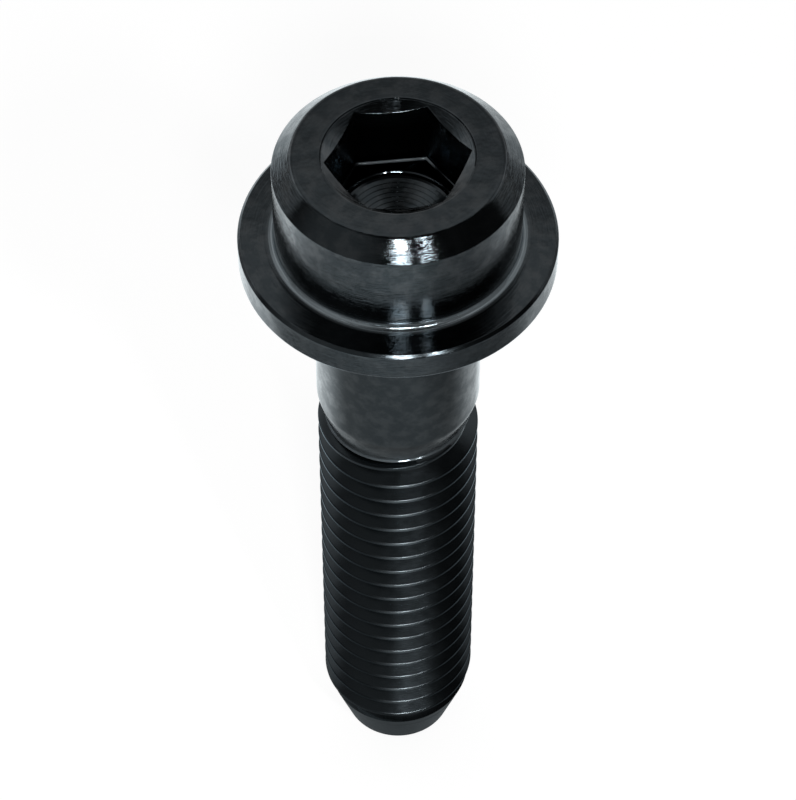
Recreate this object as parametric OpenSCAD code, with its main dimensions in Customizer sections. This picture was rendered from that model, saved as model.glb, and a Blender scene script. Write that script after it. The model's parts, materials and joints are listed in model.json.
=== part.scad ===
// Flanged socket bolt, turned from one piece: a round chamfered head with a hex socket,
// a coned flange, a plain shank, a threaded length and a tapered lead-in tip.
// The bolt's axis is Z with the head up, and Z = 0 is the flange's bearing face.

/* [Head] */
// Height of the head above the bearing face
head_h = 8.4; // [7.6:0.1:10]
// Diameter of the round head above the flange
neck_d = 14.3; // [13:0.1:15.5]
// Size of the 45 degree chamfer around the head's top
head_chamfer = 1.1; // [0.5:0.05:1.6]
// Radius of the fillet between the head and the flange
neck_fillet = 0.3; // [0.2:0.05:0.8]

/* [Flange] */
// Diameter of the flange
flange_d = 18.5; // [18:0.1:22]
// Height of the upper end of the flange's straight rim
rim_h = 1.68; // [1.2:0.02:2.4]
// Fall of the flange's top face from the head to the rim, in degrees
flange_fall = 4; // [1:0.5:10]
// Size of the 45 degree bevel around the rim's upper edge
rim_bevel = 0.18; // [0.06:0.02:0.3]
// Size of the 45 degree break around the rim's lower edge
rim_break = 0.12; // [0.04:0.02:0.3]
// Radius of the fillet between the bearing face and the shank
bearing_fillet = 0.4; // [0.2:0.05:0.8]

/* [Socket] */
// Width of the hex socket across its flats
hex_af = 7.1; // [6.9:0.05:7.3]
// Depth of the hex socket below the head's top
hex_depth = 4.2; // [3.8:0.1:5]
// Diameter of the countersink at the socket's mouth
mouth_d = 8.75; // [8.5:0.05:9.6]
// Included angle of the countersink
mouth_angle = 120; // [90:5:140]
// Diameter of the drilled hole below the hex
drill_d = 6.7; // [6:0.1:6.8]
// Depth of the drilled hole's straight wall below the head's top
drill_depth = 5.3; // [5.1:0.1:6]
// Included angle of the drilled hole's point
drill_angle = 136; // [118:2:150]

/* [Shank] */
// Diameter of the plain shank
shank_d = 9.9; // [9.8:0.05:10.4]
// Length of the plain shank below the bearing face
shank_len = 12.3; // [6:0.1:20]
// Angle of the taper at the shank's end, to the axis
shank_taper = 17; // [12:1:40]
// Diameter of the relief between the shank and the thread
relief_d = 8.7; // [8.2:0.1:9.4]

/* [Thread and tip] */
// Outer diameter of the thread
thread_d = 9.85; // [9.7:0.05:10]
// Angle of the thread's first flank, to a plane across the axis
flank_angle = 30; // [20:1:45]
// Length of the bolt below the bearing face
bolt_len = 46.6; // [35:0.1:70]
// Length of the tapered tip
tip_len = 4.6; // [2:0.1:8]
// Diameter of the tip's end before its edge is rounded
tip_d = 7; // [6:0.1:8.4]
// Radius of the rounded edge at the tip's end
tip_edge = 0.35; // [0.1:0.05:0.8]

/* [Hidden] */
$fn = 128;

// Radii of the turned steps
neck_r = neck_d / 2;
flange_r = flange_d / 2;
shank_r = shank_d / 2;
relief_r = relief_d / 2;
thread_r = thread_d / 2;
tip_r = tip_d / 2;
mouth_r = mouth_d / 2;
drill_r = drill_d / 2;

// Circumscribed circle of the hex, and its inscribed circle
hex_corner_r = hex_af / 2 / cos(30);
hex_flat_r = hex_af / 2;

// Heights along the axis
flange_edge_z = rim_h + rim_bevel;
flange_root_z = flange_edge_z + (flange_r - rim_bevel - neck_r) * tan(flange_fall);
relief_z = -shank_len - (shank_r - relief_r) / tan(shank_taper);
thread_z = relief_z - (thread_r - relief_r) * tan(flank_angle);
tip_z = -bolt_len;
tip_start_z = tip_z + tip_len;

// Circle of the neck fillet, which touches the head's wall and the flange's top face
fillet_r = neck_r + neck_fillet;
fillet_z = flange_root_z - neck_fillet * tan(flange_fall) + neck_fillet / cos(flange_fall);
fillet_foot = [fillet_r - neck_fillet * sin(flange_fall), fillet_z - neck_fillet * cos(flange_fall)];

// Circle of the tip's rounded edge, which touches the taper and the end face
tip_angle = atan((thread_r - tip_r) / tip_len);
edge_r = tip_r + tip_edge * (tan(tip_angle) - 1 / cos(tip_angle));
edge_z = tip_z + tip_edge;
edge_touch = [edge_r + tip_edge * cos(tip_angle), edge_z - tip_edge * sin(tip_angle)];

// How far a cutting shape reaches past the surface that it opens, and a fillet into its wall
overcut = 1;
lap = 0.5;

// Half section of the bolt with sharp corners, as radius and height
module sharp_section() {
  polygon([
    [0, head_h],
    [neck_r - head_chamfer, head_h],
    [neck_r, head_h - head_chamfer],
    [neck_r, flange_root_z],
    [flange_r - rim_bevel, flange_edge_z],
    [flange_r, rim_h],
    [flange_r, rim_break],
    [flange_r - rim_break, 0],
    [shank_r, 0],
    [shank_r, -shank_len],
    [relief_r, relief_z],
    [thread_r, thread_z],
    [thread_r, tip_start_z],
    edge_touch,
    [edge_r, tip_z],
    [0, tip_z]
  ]);
}

// Concave fillet between the head's wall and the flange's top face
module neck_fillet_section() {
  difference() {
    polygon([
      [neck_r, fillet_z],
      [neck_r - lap, fillet_z],
      [neck_r - lap, flange_root_z - lap],
      [fillet_foot[0], fillet_foot[1] - lap],
      fillet_foot,
      [fillet_r, fillet_z]
    ]);
    translate([fillet_r, fillet_z]) circle(r = neck_fillet);
  }
}

// Concave fillet between the bearing face and the shank
module bearing_fillet_section() {
  difference() {
    translate([shank_r - lap, -bearing_fillet]) square([lap + bearing_fillet, bearing_fillet + lap]);
    translate([shank_r + bearing_fillet, -bearing_fillet]) circle(r = bearing_fillet);
  }
}

// Rounded edge between the tip's taper and its end face
module tip_edge_section() {
  translate([edge_r, edge_z]) circle(r = tip_edge);
}

// The bolt as it leaves the lathe, with no socket
module turned_blank() {
  rotate_extrude() sharp_section();
  rotate_extrude() neck_fillet_section();
  rotate_extrude() bearing_fillet_section();
  rotate_extrude() tip_edge_section();
}

// Countersunk mouth of the socket, down to the hex's flats
module socket_mouth() {
  slope = tan(mouth_angle / 2);
  depth = (mouth_r - hex_flat_r) / slope;
  translate([0, 0, head_h - depth])
    cylinder(h = depth + overcut, r1 = hex_flat_r, r2 = mouth_r + overcut * slope);
}

// Broached hex with its corners along X
module socket_hex() {
  translate([0, 0, head_h - hex_depth]) cylinder(h = hex_depth + overcut, r = hex_corner_r, $fn = 6);
}

// Drilled hole below the hex, with its conical point
module socket_drill() {
  point_h = drill_r / tan(drill_angle / 2);
  translate([0, 0, head_h - drill_depth]) cylinder(h = drill_depth + overcut, r = drill_r);
  translate([0, 0, head_h - drill_depth - point_h]) cylinder(h = point_h, r1 = 0, r2 = drill_r);
}

// The finished bolt
module bolt() {
  color("#25272a")
    difference() {
      turned_blank();
      socket_mouth();
      socket_hex();
      socket_drill();
    }
}

bolt();
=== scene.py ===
"""Flanged socket bolt in black coated steel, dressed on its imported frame.

The bolt is one closed skin: a section carried round the axis, which turns hexagonal in the
socket and follows a helix on the thread. All sizes below are in millimetres, with the axis on
Z, the head up and Z = 0 at the flange's bearing face.
"""
import json

import bmesh
import bpy
import numpy as np
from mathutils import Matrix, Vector


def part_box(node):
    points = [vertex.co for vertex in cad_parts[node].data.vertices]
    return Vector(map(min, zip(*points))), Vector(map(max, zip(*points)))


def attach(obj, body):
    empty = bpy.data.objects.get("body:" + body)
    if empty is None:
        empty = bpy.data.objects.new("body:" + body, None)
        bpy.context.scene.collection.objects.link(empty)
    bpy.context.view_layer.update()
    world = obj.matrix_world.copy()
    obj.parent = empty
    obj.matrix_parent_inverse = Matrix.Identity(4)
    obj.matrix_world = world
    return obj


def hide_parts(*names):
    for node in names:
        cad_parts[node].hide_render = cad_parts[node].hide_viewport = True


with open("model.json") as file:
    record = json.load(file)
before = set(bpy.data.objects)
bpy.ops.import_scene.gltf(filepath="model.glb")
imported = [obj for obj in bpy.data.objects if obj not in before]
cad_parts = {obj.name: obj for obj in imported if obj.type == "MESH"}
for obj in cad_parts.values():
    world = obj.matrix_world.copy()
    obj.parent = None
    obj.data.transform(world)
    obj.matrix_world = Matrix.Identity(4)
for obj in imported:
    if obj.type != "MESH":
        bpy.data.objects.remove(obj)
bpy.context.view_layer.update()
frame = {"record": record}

# Sizes that the frame gives
MM = 0.001
bolt_low, bolt_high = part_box("bolt")
mount = {row["name"]: row for row in frame["record"]["mounts"]}
head_z = bolt_high[2] / MM
tip_z = bolt_low[2] / MM
flange_r = bolt_high[0] / MM
shank_r = mount["shank"]["dims"]["r_mm"]
thread_r = mount["thread"]["dims"]["r_mm"]

camera_azimuth = np.radians(-6.4)
camera_elevation = np.radians(51.918)
camera_distance = 201.40
aim_z = -13.77
LENS = 148.16

# Angle round the axis of the side that faces the camera
front_angle = camera_azimuth - np.pi / 2

# Sizes of the head and flange
neck_r = 7.15
head_chamfer = 1.1
top_round = 0.35
fillet_r = 0.5
neck_foot_z = 1.89
shoulder_r = 7.74
flange_fall = np.tan(np.radians(2))
flange_edge_r = flange_r - 0.18
flange_edge_z = 1.848
rim_top_z = 1.68
rim_low_z = -0.08
rim_round = 0.2
bearing_fillet = 0.4

# A height inside the rim, with the head and flange's top above it
rim_middle_z = 1.0

# Sizes of the socket
hex_flat_r = 3.6
hex_z = head_z - 4.2
mouth_r = 4.33
mouth_slope = np.tan(np.radians(60))
mouth_break = 0.02
mouth_line = 0.09
mouth_line_depth = 0.08
broach_z = hex_z - 0.06
ledge_inset = 0.14
ledge_fall = 0.04
lip_z = hex_z - 0.88
lip_wave = 0.02
lip_width = 0.07
lip_fall = 0.065
shelf_rise = 0.02

# Sizes of the drilled hole below the hex and of the rings on its point
drill_r = 3.35
drill_z = head_z - 5.4
drill_slope = np.tan(np.radians(68))
cone_start_r = 0.2
ring_pitch = 0.27
ring_tread = 0.9
tread_rise = 0.375

# Sizes of the shank's end
shank_end_z = -12.1
taper_end_r = 4.44
taper_end_z = -14.05
bead_height = 0.1
bead_drop = 0.088
bead_foot = 0.12
run_out_tilt = 0.28

# Sizes of the thread
pitch = 1.5
thread_depth = 0.92
flank_angle = np.radians(60)
crest_half = pitch / 16
crest_round = 0.12
root_round = 0.2
relief_r = 4.12
relief_blend = 0.12
thread_top_z = -14.4
first_crest_z = -16.16
run_in_z = -13.95
run_in = 1.1
thread_fade_z = -41.6
thread_end_z = -43.9

# Sizes of the tip
tip_start_z = -42.0
tip_r = 3.5
tip_edge = 0.35
tip_pole_r = 0.08

# Columns round the axis: a multiple of six puts a column on each corner of the hex
COLUMNS = 120

# Points closer than this many metres are welded, and edges turned by more than this are sharp
weld_distance = 6e-7
sharp_angle = np.radians(38)

# Half the angle of a corner that counts as straight, which keeps its arc's formula in range
straight_half = np.radians(89.99)


def as_rows(corners, columns):
    """Gives corner points one copy per column: each r and z is a number or one value per column."""
    rows = [[np.broadcast_to(r, columns), np.broadcast_to(z, columns)] for r, z in corners]
    return np.moveaxis(np.array(rows, dtype=float), 1, 2)


def rounded_section(corners, radii, columns=1, steps=5, support=0.07):
    """Rows of a section with rounded corners, as an array of row, column, (r, z).

    Each corner is cut back on both sides by radius / tan(half its angle), but by no more than
    45 % of its shorter side, and an arc about the point on its bisector at cut / cos(half its
    angle) joins the two ends. A row on each straight beside an arc keeps the straight's own normal.
    """
    points = as_rows(corners, columns)
    rows = [points[:1]]
    last_end = points[0]
    for i in range(1, len(points) - 1):
        corner, radius = points[i], radii[i]
        to_last, to_next = points[i - 1] - corner, points[i + 1] - corner
        last_len = np.linalg.norm(to_last, axis=1, keepdims=True)
        next_len = np.linalg.norm(to_next, axis=1, keepdims=True)
        a, b = to_last / last_len, to_next / next_len
        between = np.arccos(np.clip((a * b).sum(1, keepdims=True), -1, 1))
        half = np.minimum(between / 2, straight_half)
        cut = np.minimum(radius / np.tan(half), 0.45 * np.minimum(last_len, next_len))
        reach = cut / np.cos(half)
        bisector = (a + b) / np.maximum(np.linalg.norm(a + b, axis=1, keepdims=True), 1e-9)
        centre = corner + bisector * reach
        start, end = corner + a * cut, corner + b * cut
        swing = np.pi - 2 * half
        share = np.linspace(0, 1, steps + 1)[:, None, None]
        spokes = np.sin((1 - share) * swing) * (start - centre) + np.sin(share * swing) * (end - centre)
        arc = centre + spokes / np.sin(swing)
        gap_len = np.linalg.norm(start - last_end, axis=1, keepdims=True)
        inset = np.minimum(support, 0.3 * gap_len) / np.maximum(gap_len, 1e-9)
        for part in ((inset, 1 - inset) if i > 1 else (1 - inset,)):
            rows.append((last_end + (start - last_end) * part)[None])
        rows.append(arc)
        last_end = end
    gap_len = np.linalg.norm(points[-1] - last_end, axis=1, keepdims=True)
    rows.append((last_end + (points[-1] - last_end) * np.minimum(support / gap_len, 0.3))[None])
    rows.append(points[-1:])
    return np.concatenate(rows)


def angles(columns):
    """Equal steps round the axis, from the hex corner on +X."""
    return np.arange(columns) * (2 * np.pi / columns)


def hex_radius(theta, flat_r):
    """Distance from the axis to a hexagon's side: flat radius / cos(angle from the flat's middle)."""
    return flat_r / np.cos((theta % (np.pi / 3)) - np.pi / 6)


def ragged(theta, seed, waves=23):
    """A broken edge from -1 to 1: a sum of sines round the axis with seeded phases and heights."""
    rng = np.random.default_rng(seed)
    order = np.arange(5, 5 + waves)[:, None]
    phase = rng.uniform(0, 2 * np.pi, (waves, 1))
    height = rng.uniform(0.3, 1, (waves, 1))
    wave = (height * np.sin(order * theta + phase)).sum(0)
    return wave / np.abs(wave).max()


def ease(x):
    """Smooth step from 0 to 1: 3 x squared less 2 x cubed, held at its ends."""
    x = np.clip(x, 0, 1)
    return x * x * (3 - 2 * x)


def bell(x, middle, width):
    """Bell curve of height 1: e to the power of minus ((x - middle) / width) squared."""
    return np.exp(-((x - middle) / width) ** 2)


def carried_round(rows, theta):
    """Turns r and z into points: x = r cos(angle), y = r sin(angle), z = z."""
    r, z = rows[..., 0], rows[..., 1]
    return np.stack([r * np.cos(theta), r * np.sin(theta), z], axis=-1)


def drill_cone(theta):
    """The drilled hole's point: a cone with one ring of tool mark per ring pitch.

    In each pitch a wide tread, a little flatter than the cone, is followed by a short steep
    rise, so that the rings keep to the drill's slope.
    """
    rings = np.arange(1, int(drill_r / ring_pitch))
    edge = np.stack([rings, rings + ring_tread], axis=1).ravel()
    foot = rings / drill_slope
    level = np.stack([foot, foot + ring_tread * tread_rise], axis=1).ravel()
    reach = np.concatenate([[cone_start_r], edge * ring_pitch, [drill_r]])
    rise = np.concatenate([[cone_start_r / drill_slope], level * ring_pitch, [drill_r / drill_slope]])
    apex_z = drill_z - drill_r / drill_slope
    corners = [(r, apex_z + h) for r, h in zip(reach, rise)]
    return rounded_section(corners, [0.01] * len(corners), len(theta), steps=2, support=0.02)


def run_out(theta):
    """Lean of the shank's lower edge, which follows the thread: tilt x sin(angle from the front)."""
    return run_out_tilt * np.sin(theta - front_angle)


def head_rows(theta):
    """Section from the drilled hole's wall over the head and flange to the thread's relief.

    In the socket the radius is the hexagon's, and the countersink meets it at
    z = top - (mouth radius - hexagon radius) / slope, which scallops the flats. Each corner
    stands with the radius that rounds it.
    """
    wall_r = hex_radius(theta, hex_flat_r)
    ledge_r = hex_radius(theta, hex_flat_r - ledge_inset)
    lip_edge_z = lip_z + lip_wave * ragged(theta, 8)
    edge_z = head_z - (mouth_r - wall_r) / mouth_slope
    line_z = head_z - mouth_break / 2 - mouth_line_depth * ease(0.7 - np.cos(theta - front_angle))
    shoulder_z = flange_edge_z + (flange_edge_r - shoulder_r) * flange_fall
    lean = run_out(theta)
    bead_z = taper_end_z - bead_drop + lean
    section = [
        ((drill_r, drill_z), 0),
        ((drill_r, lip_edge_z - lip_fall), 0.02),
        ((drill_r + lip_width, lip_edge_z), 0.02),
        ((ledge_r, lip_edge_z + shelf_rise), 0.01),
        ((ledge_r, broach_z - ledge_fall), 0.1),
        ((wall_r, broach_z), 0.02),
        ((wall_r, edge_z), 0.1),
        ((mouth_r, head_z - mouth_break), 0.02),
        ((mouth_r + mouth_line / 2, line_z), 0.01),
        ((mouth_r + mouth_line, head_z), 0.03),
        ((neck_r - head_chamfer, head_z), top_round),
        ((neck_r, head_z - head_chamfer), 0.06),
        ((neck_r, neck_foot_z), fillet_r),
        ((shoulder_r, shoulder_z), 0.3),
        ((flange_edge_r, flange_edge_z), 0.05),
        ((flange_r, rim_top_z), 0.06),
        ((flange_r, rim_low_z), rim_round),
        ((shank_r, rim_low_z), bearing_fillet),
        ((shank_r, shank_end_z), 1.2),
        ((taper_end_r, taper_end_z + lean), 0.03),
        ((taper_end_r + bead_height, bead_z), 0.04),
        ((relief_r, bead_z - bead_foot), 0.04),
        ((relief_r, thread_top_z + lean), 0),
    ]
    corners, radii = zip(*section)
    return rounded_section(corners, radii, len(theta))


def thread_form():
    """Half of one thread's section: distance along the axis from the crest's middle, and depth.

    A crest of an eighth of the pitch with rounded edges, a flank at 60 degrees and a round root.
    """
    flank_end = crest_half + thread_depth / np.tan(flank_angle)
    corners = [(0, 0), (crest_half, 0), (flank_end, thread_depth), (pitch / 2, thread_depth)]
    half = rounded_section(corners, [0, crest_round, root_round, 0], steps=3, support=0.05)[:, 0]
    return half[:, 0], half[:, 1]


def tip_cone(z):
    """Radius of the tapered tip at a height, the thread's radius above it."""
    return thread_r - np.maximum(tip_start_z - z, 0) * (thread_r - tip_r) / (tip_start_z - tip_z)


def thread_radius(theta, z):
    """Radius of the threaded length at an angle and height.

    The distance from the nearest crest is z less the crest's height, which rises by one pitch
    per turn. The form's depth is taken off the outer radius. It grows out of the relief over
    the first turn and fades into the tip's cone.
    """
    along_form, depth = thread_form()
    turn = (theta - front_angle) / (2 * np.pi)
    phase = (z - first_crest_z) / pitch - turn
    crest_z = first_crest_z + (np.round(phase) + turn) * pitch
    offset = np.abs(z - crest_z)
    full_r = thread_r - np.interp(offset, along_form, depth)
    hold = 1 - ease(offset / (pitch / 2))
    grown = ease((run_in_z - (z + (crest_z - z) * hold)) / run_in)
    grown = grown * ease((thread_top_z + run_out(theta) - z) / relief_blend)
    r = relief_r + (full_r - relief_r) * grown
    outer_r = tip_cone(z)
    left = 1 - ease((thread_fade_z - z) / (thread_fade_z - thread_end_z))
    return outer_r - np.maximum(outer_r - r, 0) * left


def thread_grid(columns):
    """Points and faces of the thread: rows that follow the helix, held between its two ends.

    Each row keeps one place on the thread's form, so its height is the crest's height, less
    that place, plus one pitch per turn. Heights past an end are held at that end.
    """
    along_form, _ = thread_form()
    places = np.concatenate([along_form, pitch - along_form[-2:0:-1]])
    turns = int(np.ceil((thread_top_z - thread_end_z) / pitch)) + 3
    start = first_crest_z + np.ceil((thread_top_z - first_crest_z) / pitch + 1) * pitch
    row_z = start - (np.arange(turns)[:, None] * pitch + places).ravel()
    theta = np.linspace(0, 2 * np.pi, columns + 1)
    z = row_z[:, None] + (theta - front_angle) / (2 * np.pi) * pitch - pitch
    z = np.clip(z, thread_end_z, thread_top_z + run_out(theta))
    rows = np.stack([thread_radius(theta + 0 * z, z), z], axis=-1)
    return carried_round(rows, theta), grid_faces(len(row_z), columns + 1, closed=False)


def tip_rows(theta):
    """Section of the tip's smooth end: the cone, its rounded edge and the flat end face."""
    corners = [(tip_cone(thread_end_z), thread_end_z), (tip_r, tip_z), (tip_pole_r, tip_z)]
    return rounded_section(corners, [0, tip_edge, 0], len(theta), steps=8)


def grid_faces(rows, columns, closed=True):
    """Four corners of each cell of a grid, wrapped round in its columns if it is closed."""
    cell_columns = columns if closed else columns - 1
    i, j = np.meshgrid(np.arange(rows - 1), np.arange(cell_columns), indexing="ij")
    k = (j + 1) % columns
    cells = [i * columns + j, i * columns + k, (i + 1) * columns + k, (i + 1) * columns + j]
    return np.stack(cells, axis=-1).reshape(-1, 4)


def fan_faces(ring, pole):
    """Triangles from a ring of points to the pole that closes it."""
    return np.stack([ring, np.roll(ring, -1), np.full_like(ring, pole)], axis=-1)


def bolt_skin():
    """The whole skin: socket, head, flange and shank in one grid, then the thread and the tip."""
    theta = angles(COLUMNS)
    upper = np.concatenate([drill_cone(theta), head_rows(theta)[1:]])
    tip = tip_rows(theta)
    apex_z = drill_z - drill_r / drill_slope
    grids = [
        (carried_round(upper, theta), grid_faces(len(upper), COLUMNS)),
        thread_grid(COLUMNS),
        (carried_round(tip, theta), grid_faces(len(tip), COLUMNS)),
    ]
    points, quads, count = [], [], 0
    for grid, cells in grids:
        points.append(grid.reshape(-1, 3))
        quads.append(cells + count)
        count += grid.shape[0] * grid.shape[1]
    poles = np.array([[0, 0, apex_z], [0, 0, tip_z]])
    ring = np.arange(COLUMNS)
    fans = [fan_faces(ring, count), fan_faces(count - COLUMNS + ring, count + 1)]
    points = np.concatenate(points + [poles]) * MM
    faces = np.concatenate(quads).tolist() + np.concatenate(fans).tolist()
    return points, faces


def round_axis(points):
    """Radius and height of each point in millimetres, and its angle from the front in degrees."""
    r = np.hypot(points[:, 0], points[:, 1]) / MM
    turn = np.arctan2(points[:, 1], points[:, 0]) - front_angle
    return r, points[:, 2] / MM, np.degrees((turn + np.pi) % (2 * np.pi) - np.pi)


def by_place(places, rest):
    """Value of the first place that holds a point, from pairs of mask and value, or else the rest."""
    masks, values = zip(*places)
    return np.select(masks, values, rest)


def on_thread(z):
    """Whether a height is on the thread or the tip, below the shank's lower edge."""
    return z < taper_end_z - 0.3


def on_crest(r, z):
    """Whether a point is on the thread's crest, less than 0.05 mm below the outer radius."""
    return on_thread(z) & (r > tip_cone(z) - 0.05) & (z > thread_fade_z)


def tool_marks(points):
    """How strongly each point shows turning marks, from 0 to 1, by its place on the section."""
    r, z, _ = round_axis(points)
    in_head = z > rim_middle_z
    in_socket = in_head & (r < mouth_r + 0.01)
    in_neck = in_head & (r < neck_r + 0.02)
    countersink = in_socket & (z > head_z - 0.5) & (r > hex_flat_r + 0.02)
    top_face = z > head_z - 0.01
    chamfer = in_neck & (z > head_z - head_chamfer - 0.02)
    fillet = in_head & (r < shoulder_r + 0.02)
    flange_top = in_head & (r < flange_edge_r - 0.02)
    rim = z > -0.5
    shank = z > shank_end_z
    taper = z > thread_top_z + run_out_tilt
    thread = z > thread_end_z
    places = [(countersink, 0.8), (in_socket, 0.05), (top_face, 0.1), (chamfer, 1.0), (in_neck, 0.8),
              (fillet, 0.5), (flange_top, 0.45), (rim, 0.6), (shank, 0.15), (taper, 0.5), (thread, 0.1)]
    return by_place(places, 0.4)


def wear_and_highlight(points):
    """Share of the steel's grey at each point, from 0 to 1: thin coating, paler bands and painted
    highlights.

    The coating is worn all round the neck's fillet, along the rim's lower edge and along the shank's
    lower edge, and paler bands go round the shank's taper. Painted highlights in the same grey lie on
    the fillet and the shank's lower edge at the front, on the thread's crests at the front, and on
    the socket's ledge at the back.
    """
    r, z, turn = round_axis(points)
    theta = np.radians(turn)
    fillet = ease((neck_foot_z + 0.3 - z) / 0.1) * ease((neck_r + 0.36 - r) / 0.1)
    # A bell at the front makes the fillet brighter there: a painted highlight over wear all round
    fillet = fillet * (z > neck_foot_z - 0.05) * (0.45 + 0.55 * bell(turn, 3, 30))
    ledge = (r < hex_flat_r * 1.2) & (z > broach_z - 0.15) & (z < broach_z - 0.01)
    # Only the back of the ledge, the side that faces the camera, gets it: a painted highlight
    ledge = ledge * ease((np.abs(turn) - 142) / 12) * (0.4 + 0.25 * ragged(theta, 4))
    rim_edge = (z < 0.06) & (z > -1) & (r > flange_r - 0.14)
    rim_wear = 0.45 + 0.35 * ragged(theta, 11)
    bands = bell(z, shank_end_z - 0.65, 0.3) + 0.9 * bell(z, taper_end_z, 0.35)
    taper = (0.05 + 0.15 * bands) * ease((shank_end_z - 0.2 - z) / 0.3) * (z > taper_end_z - run_out_tilt)
    level_z = z - run_out(theta + front_angle)
    edge = (level_z < taper_end_z + 0.03) & (level_z > taper_end_z - 0.25)
    # A bell at the front paints a highlight on the lower edge, over light wear all round
    edge = edge * (0.1 + 0.4 * bell(turn, 3, 22))
    # The crests at the front only: a painted highlight
    crest_highlight = 0.32 * on_crest(r, z) * bell(turn, 4, 14)
    below_flange = np.maximum(np.maximum(edge, taper), crest_highlight)
    outside_head = (r > neck_r - 0.01) & (z > rim_middle_z)
    return by_place([(rim_edge, rim_wear), (z < -1, below_flange), (outside_head, fillet)], ledge)


def dullness_and_socket_shade(points):
    """How dull each point is: 0 on the gloss coating, 1 on the socket's broached walls, where it paints
    shade by making them reflect nothing, and between them the thread's crests, the thread and tip, the
    rim's bevel and the neck's fillet."""
    r, z, _ = round_axis(points)
    ledge = (z > broach_z - 0.17) & (z < broach_z - 0.01)
    in_hex = (r > drill_r + 0.09) & (r < mouth_r) & (z > hex_z - 0.95) & (z < head_z - 0.6)
    bevel = (r > flange_edge_r - 0.03) & (z > rim_top_z - 0.05)
    fillet = (r > neck_r - 0.01) & (r < shoulder_r) & (z < neck_foot_z + fillet_r) & (z > rim_middle_z)
    # At 1 the socket's walls reflect nothing: painted shade inside the socket
    places = [(in_hex & ~ledge, 1.0), (on_crest(r, z), 0.3), (on_thread(z), 0.16),
              (bevel, 0.07), (fillet, 0.05)]
    return by_place(places, 0.0)


def new_piece(name, points, faces, material):
    """A smooth mesh object at the origin, welded where its grids meet, with its faces outward."""
    mesh = bpy.data.meshes.new(name)
    mesh.from_pydata(points.tolist(), [], faces)
    weld = bmesh.new()
    weld.from_mesh(mesh)
    bmesh.ops.remove_doubles(weld, verts=weld.verts, dist=weld_distance)
    bmesh.ops.dissolve_degenerate(weld, edges=weld.edges, dist=weld_distance)
    bmesh.ops.recalc_face_normals(weld, faces=weld.faces)
    weld.to_mesh(mesh)
    weld.free()
    place = np.empty(len(mesh.vertices) * 3, dtype=np.float32)
    mesh.vertices.foreach_get("co", place)
    for mask in (tool_marks, wear_and_highlight, dullness_and_socket_shade):
        layer = mesh.attributes.new(mask.__name__, "FLOAT", "POINT")
        layer.data.foreach_set("value", mask(place.reshape(-1, 3)).astype(np.float32))
    mesh.shade_smooth()
    mesh.set_sharp_from_angle(angle=sharp_angle)
    mesh.materials.append(material)
    piece = bpy.data.objects.new(name, mesh)
    bpy.context.scene.collection.objects.link(piece)
    return piece


def node(tree, kind, **values):
    """Adds a shader node and sets its properties and, by name, its unlinked inputs."""
    made = tree.nodes.new(kind)
    for key, value in values.items():
        if hasattr(made, key):
            setattr(made, key, value)
        else:
            made.inputs[key.replace("_", " ")].default_value = value
    return made


def math_node(tree, operation, *inputs):
    """Adds a Math node, each input a number or an output to link."""
    made = tree.nodes.new("ShaderNodeMath")
    made.operation = operation
    for socket, value in zip(made.inputs, inputs):
        if hasattr(value, "is_output"):
            tree.links.new(value, socket)
        else:
            socket.default_value = value
    return made.outputs[0]


def times(tree, product, *factors):
    """Product of outputs and numbers, with one Math node for each factor after the first."""
    for factor in factors:
        product = math_node(tree, "MULTIPLY", product, factor)
    return product


def plus(tree, total, *terms):
    """Sum of outputs and numbers, with one Math node for each term after the first."""
    for term in terms:
        total = math_node(tree, "ADD", total, term)
    return total


def ramp(tree, value, start, end, low, high, kind="SMOOTHSTEP"):
    """Change of a value from low to high as its input goes from start to end, smooth or linear."""
    made = node(tree, "ShaderNodeMapRange", interpolation_type=kind)
    tree.links.new(value, made.inputs[0])
    for socket, number in zip(made.inputs[1:5], (start, end, low, high)):
        socket.default_value = number
    return made.outputs[0]


def along(tree, place, axis):
    """Distance of a place along an axis: their dot product."""
    made = node(tree, "ShaderNodeVectorMath", operation="DOT_PRODUCT")
    tree.links.new(place, made.inputs[0])
    made.inputs[1].default_value = axis
    return made.outputs["Value"]


def painted(tree, name):
    """Value of one of the mesh's own point attributes."""
    return node(tree, "ShaderNodeAttribute", attribute_name=name).outputs["Fac"]


def turning_marks_group():
    """Tool marks of a lathe: noise read at (radius, height), so that it runs in rings round Z.

    A little of x and y is mixed in, so that the rings break up along their length.
    """
    group = bpy.data.node_groups.new("turning_marks", "ShaderNodeTree")
    face = group.interface
    face.new_socket("Vector", in_out="INPUT", socket_type="NodeSocketVector")
    face.new_socket("Scale", in_out="INPUT", socket_type="NodeSocketFloat")
    face.new_socket("Drift", in_out="INPUT", socket_type="NodeSocketFloat")
    face.new_socket("Rings", in_out="OUTPUT", socket_type="NodeSocketFloat")
    entry = group.nodes.new("NodeGroupInput")
    leave = group.nodes.new("NodeGroupOutput")
    split = group.nodes.new("ShaderNodeSeparateXYZ")
    group.links.new(entry.outputs["Vector"], split.inputs[0])
    x, y, z = split.outputs
    drift = entry.outputs["Drift"]
    radius = math_node(group, "SQRT", plus(group, times(group, x, x), times(group, y, y)))
    place = group.nodes.new("ShaderNodeCombineXYZ")
    group.links.new(plus(group, radius, times(group, x, drift)), place.inputs[0])
    group.links.new(z, place.inputs[1])
    group.links.new(times(group, y, drift), place.inputs[2])
    noise = node(group, "ShaderNodeTexNoise", Detail=2.0, Roughness=0.6)
    group.links.new(place.outputs[0], noise.inputs["Vector"])
    group.links.new(entry.outputs["Scale"], noise.inputs["Scale"])
    group.links.new(noise.outputs[0], leave.inputs["Rings"])
    return group


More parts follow.
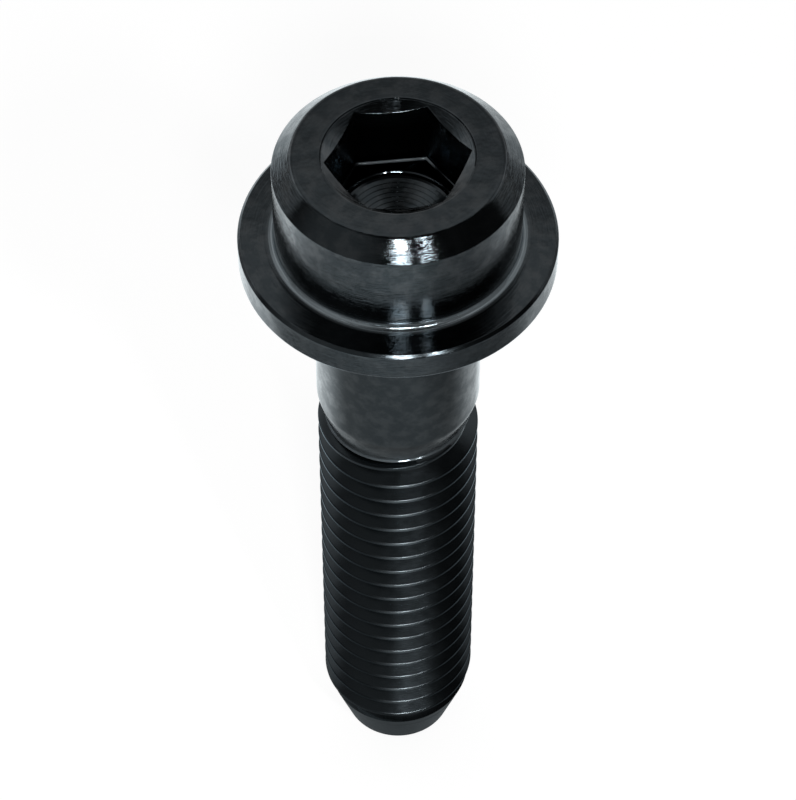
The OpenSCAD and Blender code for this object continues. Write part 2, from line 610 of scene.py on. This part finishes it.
def black_coating():
    """Gloss black coating: nearly no colour of its own, so its look is mostly what it reflects, with
    painted highlights in a steel grey and painted shade on the socket's walls.
    """
    material = bpy.data.materials.new("black_coating")
    material.use_nodes = True
    tree = material.node_tree
    shader = tree.nodes["Principled BSDF"]
    shader.inputs["IOR"].default_value = 1.7
    shader.inputs["Specular Tint"].default_value = (0.74, 0.90, 1.0, 1.0)
    shader.inputs["Coat Roughness"].default_value = 0.1
    place = node(tree, "ShaderNodeTexCoord").outputs["Object"]
    marks = node(tree, "ShaderNodeGroup", node_tree=turning_marks_group(), Scale=12000.0, Drift=0.08)
    mottle = node(tree, "ShaderNodeTexNoise", Scale=1100.0, Detail=2.0, Roughness=0.5)
    film = node(tree, "ShaderNodeTexNoise", Scale=1100.0, Detail=4.0, Roughness=0.65)
    for pattern in (marks, mottle, film):
        tree.links.new(place, pattern.inputs["Vector"])
    bare_and_highlight, dull_and_shade = painted(tree, "wear_and_highlight"), painted(tree, "dullness_and_socket_shade")
    off_walls = ramp(tree, dull_and_shade, 0.85, 0.95, 1.0, 0.0)
    gloss = ramp(tree, dull_and_shade, 0.02, 0.12, 1.0, 0.0)

    # A film of oil lies in patches on the gloss parts
    patches = ramp(tree, film.outputs[0], 0.40, 0.66, 0.0, 0.6)
    tree.links.new(times(tree, patches, gloss), shader.inputs["Coat Weight"])

    # Steel shows where the coating is thin, and the same grey paints highlights at the front and on the
    # socket's back ledge
    colour = node(tree, "ShaderNodeMix", data_type="RGBA")
    colour.inputs[6].default_value = (0.0004, 0.00045, 0.0005, 1)
    colour.inputs[7].default_value = (0.46, 0.53, 0.57, 1)
    tree.links.new(bare_and_highlight, colour.inputs[0])
    tree.links.new(colour.outputs[2], shader.inputs["Base Color"])

    # Black metal takes the reflection away, partly on the thread and its crests, and wholly on the
    # socket's walls, where it is a painted shade
    thread_soot = ramp(tree, dull_and_shade, 0.12, 0.15, 0.0, 0.25)
    crest_soot = ramp(tree, dull_and_shade, 0.2, 0.28, 0.0, 0.35)
    wall_shade = math_node(tree, "SUBTRACT", 1.0, off_walls)
    soot = math_node(tree, "MAXIMUM", wall_shade, plus(tree, thread_soot, crest_soot))
    tree.links.new(math_node(tree, "MAXIMUM", bare_and_highlight, soot), shader.inputs["Metallic"])

    # Gloss varies with the mottle, and the thread and tip are satin
    uneven = ramp(tree, mottle.outputs[0], 0.3, 0.7, 0.07, 0.12, "LINEAR")
    satin = times(tree, ramp(tree, dull_and_shade, 0.0, 0.16, 0.0, 0.15), off_walls)
    tree.links.new(plus(tree, uneven, satin), shader.inputs["Roughness"])

    # Ridges of the turning marks and slow waves of the coating, in thousandths of a millimetre
    ridges = times(tree, marks.outputs["Rings"], times(tree, painted(tree, "tool_marks"), 16.0))
    waves = times(tree, mottle.outputs[0], 9.0)
    bump = node(tree, "ShaderNodeBump", Strength=1.0, Distance=1e-6)
    tree.links.new(plus(tree, ridges, waves), bump.inputs["Height"])
    tree.links.new(bump.outputs[0], shader.inputs["Normal"])
    return material


def direction(azimuth, elevation):
    """Unit vector from the bolt towards an azimuth and elevation, azimuth 0 on -Y."""
    level = np.cos(elevation)
    return Vector((np.sin(azimuth) * level, -np.cos(azimuth) * level, np.sin(elevation)))


def aimed(thing, place, target):
    """Puts a camera or lamp at a place with its -Z axis on the target."""
    thing.location = place
    thing.rotation_euler = (target - place).to_track_quat("-Z", "Y").to_euler()
    bpy.context.scene.collection.objects.link(thing)


def set_camera():
    """Long-lens camera above and in front of the bolt."""
    data = bpy.data.cameras.new("camera")
    data.sensor_width = 36
    data.lens = LENS
    data.clip_start = 0.01
    camera = bpy.data.objects.new("camera", data)
    target = Vector((0, 0, aim_z * MM))
    aimed(camera, target + direction(camera_azimuth, camera_elevation) * camera_distance * MM, target)
    bpy.context.scene.camera = camera


# Lamps: name, turn from the camera and lift in degrees, width and height in metres, and level
lamp_distance = 0.35
LAMPS = (
    ("key_lamp", 2.2, 43.2, 0.055, 0.032, 1.05),
    ("side_lamp", 25.2, 43.2, 0.023, 0.032, 0.47),
    ("high_lamp", 2.2, 71.0, 0.016, 0.04, 0.0125),
    ("high_side_lamp", 25.2, 71.0, 0.014, 0.04, 0.0055),
)


def softbox(name, turn, lift, width, height, level):
    """A rectangular lamp aimed at the bolt, with a level as its light on a facing surface."""
    data = bpy.data.lights.new(name, "AREA")
    data.shape = "RECTANGLE"
    data.size, data.size_y = width, height
    data.energy = level * np.pi * lamp_distance ** 2
    lamp = bpy.data.objects.new(name, data)
    towards = direction(camera_azimuth + np.radians(turn), np.radians(lift))
    aimed(lamp, towards * lamp_distance, Vector((0, 0, 0)))
    lamp.visible_camera = False


def floor_in_gloss(tree):
    """Brightness of the floor as the coating reflects it, by distance in metres from the bolt's
    foot: a painted shadow, dim round the foot and on the right in front, where the bolt would shade it,
    and white further out and behind."""
    place = node(tree, "ShaderNodeTexCoord").outputs["Object"]
    far = along(tree, place, direction(camera_azimuth + np.pi, 0))
    right = along(tree, place, direction(camera_azimuth + np.pi / 2, 0))
    reach = math_node(tree, "SQRT", plus(tree, times(tree, far, far), times(tree, right, right)))
    near = ramp(tree, reach, 0.006, 0.030, 0.16, 0.36)
    foot = times(tree, near, ramp(tree, reach, 0.039, 0.045, 1.0, 0.5))
    middle = ramp(tree, math_node(tree, "ABSOLUTE", right), 0.006, 0.032, 0.14, 0.0)
    ring = times(tree, ramp(tree, reach, 0.030, 0.046, 0.0, 1.0), middle)
    out = ramp(tree, reach, 0.047, 0.052, 0.0, 0.65)
    front = times(tree, plus(tree, foot, ring, out), ramp(tree, right, 0.012, 0.040, 1.0, 0.5))
    open_side = ramp(tree, reach, 0.005, 0.035, 0.3, 1.2)
    behind = times(tree, open_side, ramp(tree, right, 0.015, 0.03, 1.0, 0.62))
    level = node(tree, "ShaderNodeMix", data_type="FLOAT")
    tree.links.new(ramp(tree, far, -0.012, 0.016, 0.0, 1.0), level.inputs[0])
    tree.links.new(front, level.inputs[2])
    tree.links.new(behind, level.inputs[3])
    return level.outputs[0]


def pale_floor():
    """Floor's material: a diffuse sheet that takes the shadow, lit up to white for the picture."""
    material = bpy.data.materials.new("pale_floor")
    material.use_nodes = True
    tree = material.node_tree
    tree.nodes.clear()
    out = tree.nodes.new("ShaderNodeOutputMaterial")
    path = node(tree, "ShaderNodeLightPath")
    sheet = node(tree, "ShaderNodeBsdfDiffuse", Color=(0.8, 0.8, 0.8, 1))
    pale = node(tree, "ShaderNodeBsdfDiffuse", Color=(0.3, 0.3, 0.3, 1))
    white = node(tree, "ShaderNodeEmission", Color=(1, 1, 1, 1), Strength=0.86)
    # The floor's glow in reflections, which carries the painted shadow round the foot
    mirrored = node(tree, "ShaderNodeEmission", Color=(0.90, 0.97, 1.0, 1))
    tree.links.new(floor_in_gloss(tree), mirrored.inputs["Strength"])
    both = tree.nodes.new("ShaderNodeAddShader")
    tree.links.new(pale.outputs[0], both.inputs[0])
    tree.links.new(white.outputs[0], both.inputs[1])
    last = sheet
    for ray, shown in (("Is Glossy Ray", mirrored), ("Is Camera Ray", both)):
        mix = tree.nodes.new("ShaderNodeMixShader")
        tree.links.new(path.outputs[ray], mix.inputs[0])
        tree.links.new(last.outputs[0], mix.inputs[1])
        tree.links.new(shown.outputs[0], mix.inputs[2])
        last = mix
    tree.links.new(last.outputs[0], out.inputs[0])
    return material


def lay_floor(half=1.5, gap=0.01):
    """A square sheet just below the tip, half its side in metres and the gap in millimetres."""
    floor_z = (tip_z - gap) * MM
    corners = [(x * half, y * half, floor_z) for x, y in ((-1, -1), (1, -1), (1, 1), (-1, 1))]
    mesh = bpy.data.meshes.new("floor")
    mesh.from_pydata(corners, [], [(0, 1, 2, 3)])
    mesh.materials.append(pale_floor())
    floor = bpy.data.objects.new("floor", mesh)
    bpy.context.scene.collection.objects.link(floor)


def room_light(tree):
    """Brightness of the room by direction: grey behind and above the bolt, dark in front of it,
    with a pale panel on the left in front. Far, left and up are parts of the direction."""
    place = node(tree, "ShaderNodeTexCoord").outputs["Generated"]
    far = along(tree, place, direction(camera_azimuth + np.pi, 0))
    left = along(tree, place, direction(camera_azimuth - np.pi / 2, 0))
    up = along(tree, place, (0, 0, 1))

    # The grey wall behind, brighter to the left and bowed where it ends above the bolt
    high = ramp(tree, plus(tree, up, times(tree, far, 0.8)), 0.0, 0.8, 0.0, 0.52)
    grey = plus(tree, times(tree, high, high), 0.15)
    side = plus(tree, times(tree, left, 0.15), 0.80)
    bow = times(tree, left, left, up, 0.28)
    edge = ramp(tree, math_node(tree, "SUBTRACT", far, bow), -0.02, 0.12, 0.0, 1.0)

    # Its bands with height: dim at the floor, and a dark band between two pale ones
    low = ramp(tree, up, 0.0, 0.3, 0.5, 1.0)
    band_foot = ramp(tree, up, 0.45, 0.70, 1.4, 0.6)
    band_top = ramp(tree, up, 0.718, 0.765, 0.6, 1.4)
    bands = math_node(tree, "MAXIMUM", band_foot, band_top)

    # Wings at both sides, paler in their lower part and darker in their upper part
    aside = ramp(tree, math_node(tree, "ABSOLUTE", left), 0.45, 0.6, 0.0, 1.0)
    wing = times(tree, aside, ramp(tree, up, 0.25, 0.4, 0.0, 0.8), ramp(tree, up, 0.69, 0.74, 1.0, -0.75))
    back = times(tree, edge, grey, side, bands, low, plus(tree, wing, 1.0))

    panel = along(tree, place, direction(camera_azimuth - np.radians(56), np.radians(35)))
    front = plus(tree, ramp(tree, panel, 0.75, 1.0, 0.0, 0.24), 0.025)
    return plus(tree, back, front)


def set_world():
    """Studio's surroundings: white to the camera, and a dim room for everything else."""
    world = bpy.data.worlds.new("studio")
    bpy.context.scene.world = world
    world.use_nodes = True
    tree = world.node_tree
    sky = tree.nodes["Background"]
    sky.inputs["Color"].default_value = (1, 1, 1, 1)
    path = node(tree, "ShaderNodeLightPath")
    level = node(tree, "ShaderNodeMix", data_type="FLOAT")
    tree.links.new(path.outputs["Is Camera Ray"], level.inputs[0])
    tree.links.new(room_light(tree), level.inputs[2])
    level.inputs[3].default_value = 1.0
    tree.links.new(level.outputs[0], sky.inputs["Strength"])


coating = black_coating()
points, faces = bolt_skin()
bolt = new_piece("threaded_bolt", points, faces, coating)
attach(bolt, "root")
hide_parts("bolt")

lay_floor()
set_camera()
set_world()
for lamp in LAMPS:
    softbox(*lamp)
bpy.context.scene.view_settings.view_transform = "Standard"
